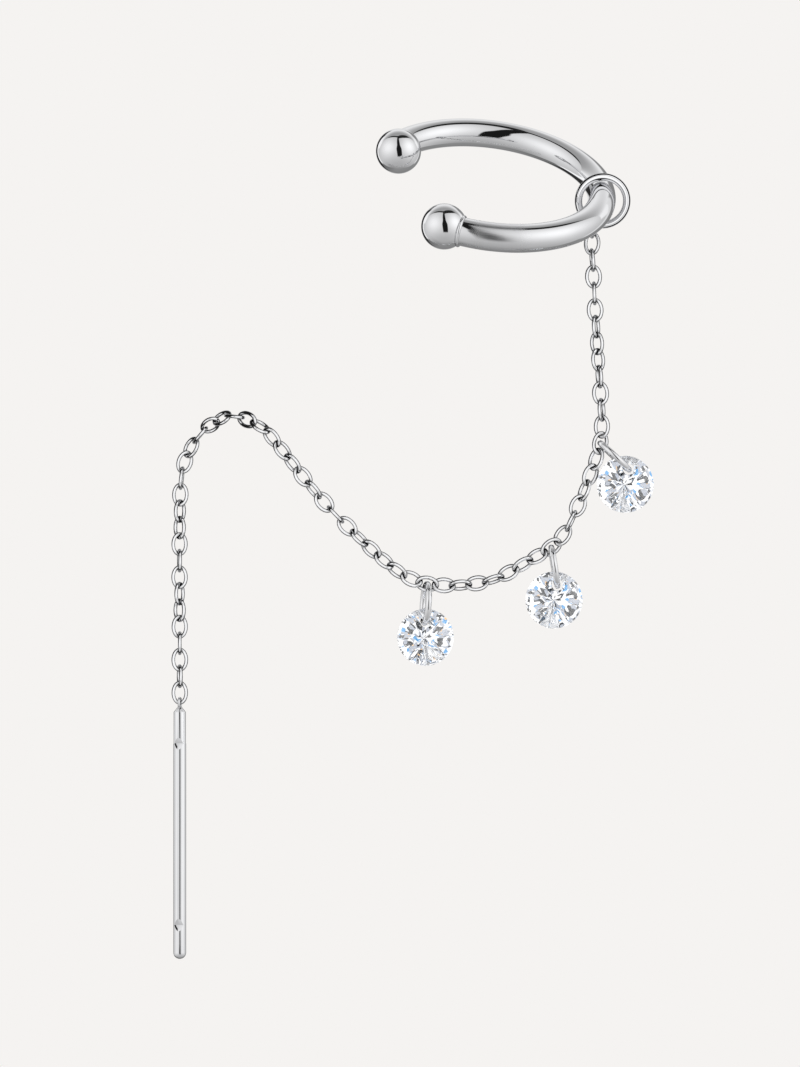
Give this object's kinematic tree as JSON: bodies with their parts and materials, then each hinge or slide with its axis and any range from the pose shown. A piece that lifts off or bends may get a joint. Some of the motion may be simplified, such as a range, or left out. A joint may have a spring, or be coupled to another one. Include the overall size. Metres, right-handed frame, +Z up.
{
  "type": "ear cuff with threader chain",
  "caption": "Open wire ear cuff with ball ends, a fine cable chain with hanging brilliant-cut stones and a straight threader bar.",
  "frame": {"origin": "centre of the cuff's hollow, where the rim of the ear sits", "axes": "+Z up as worn, -Y the front that the stones' tables face, +X towards the side of the cuff that carries the chain"},
  "size_m": [0.0256, 0.0118, 0.0448],
  "materials": {
    "polished_steel": "mirror polished stainless steel",
    "chain_steel": "bright tumbled stainless steel",
    "clear_stone": "clear cut stone, polished facets"
  },
  "bodies": {
    "root": {"cuff": "polished_steel", "cuff_ring": "polished_steel", "chain": "chain_steel", "stone_ring_1": "polished_steel", "stone_ring_2": "polished_steel", "stone_ring_3": "polished_steel", "stone_1": "clear_stone", "stone_2": "clear_stone", "stone_3": "clear_stone", "threader_bar": "polished_steel"}
  },
  "joints": []
}
